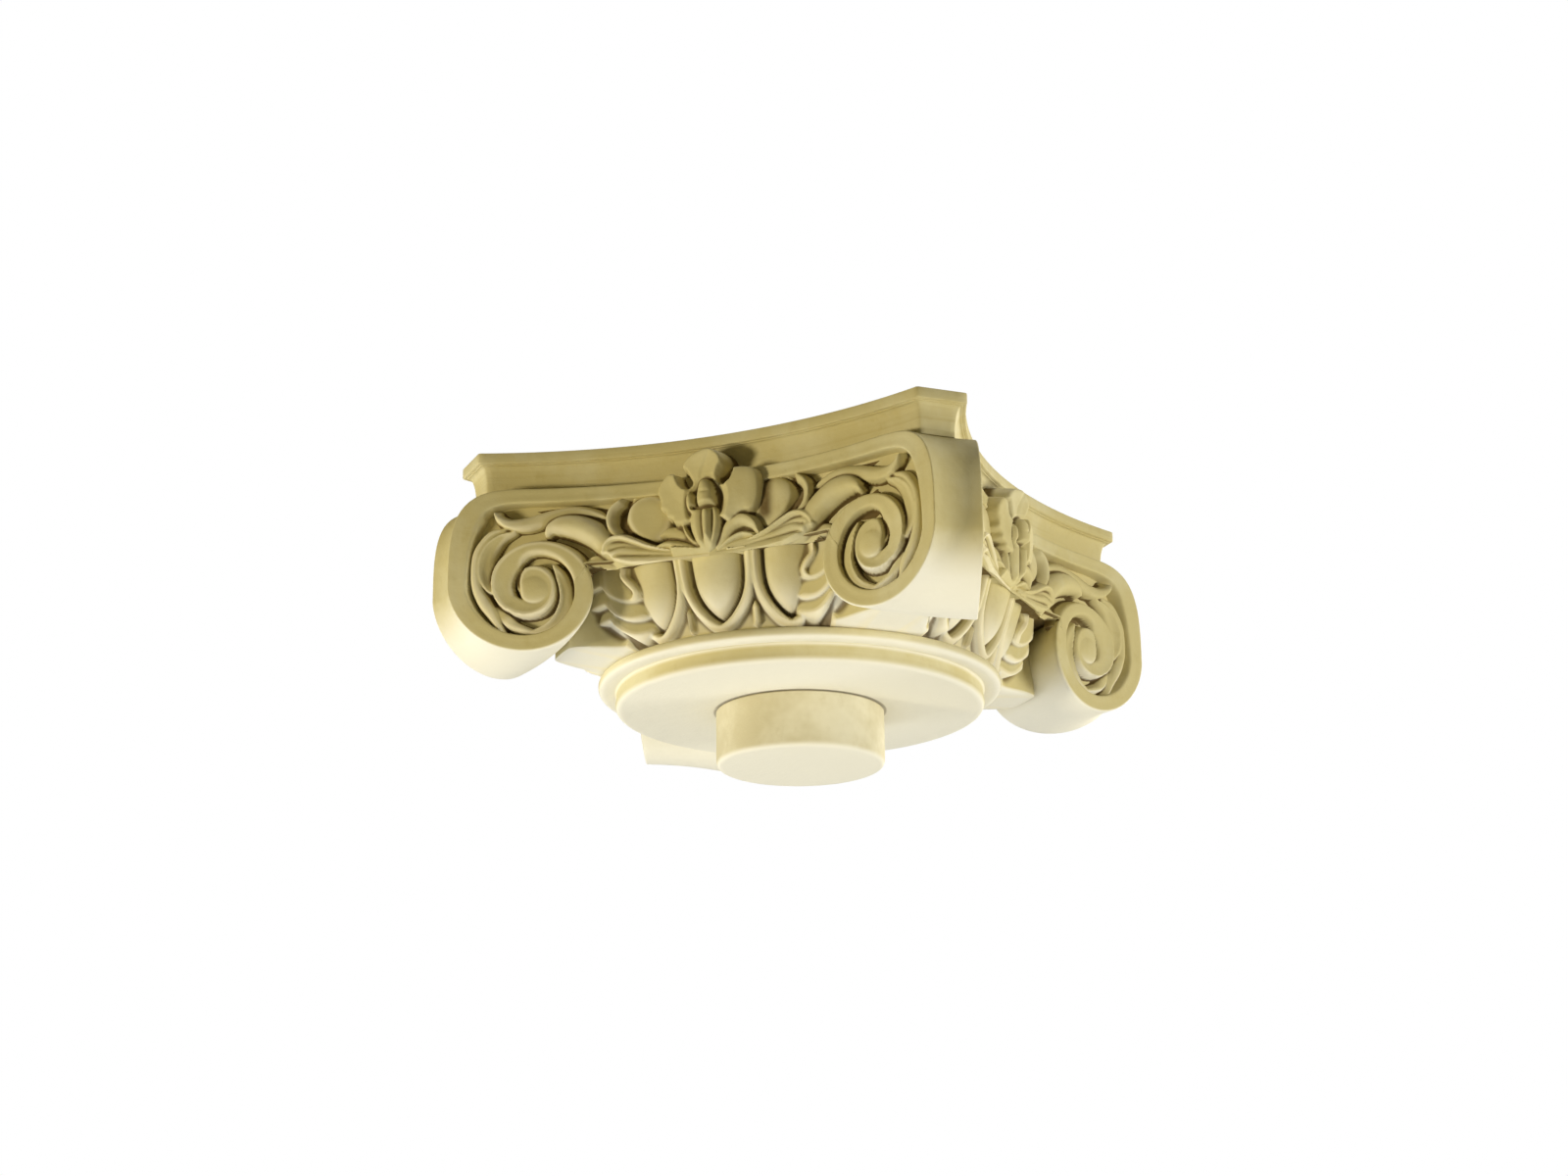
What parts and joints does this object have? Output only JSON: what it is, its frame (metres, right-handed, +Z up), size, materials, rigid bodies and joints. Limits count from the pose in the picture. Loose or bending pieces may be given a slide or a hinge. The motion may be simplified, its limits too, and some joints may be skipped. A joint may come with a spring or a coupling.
{
  "type": "ionic capital",
  "caption": "Cast angular Ionic capital: concave abacus with cut corners, diagonal volutes, egg-and-dart echinus, flower on each face and a round locating spigot below.",
  "frame": {"origin": "middle of the locating spigot's underside", "axes": "+Z up along the capital's axis, from the spigot to the abacus; -Y out of the front face; the four faces are alike"},
  "size_m": [0.4298, 0.4298, 0.211],
  "materials": {
    "cast_plaster": "matte",
    "spigot_plaster": "matte"
  },
  "bodies": {
    "root": {"capital": "cast_plaster", "locating_spigot": "spigot_plaster"}
  },
  "joints": []
}
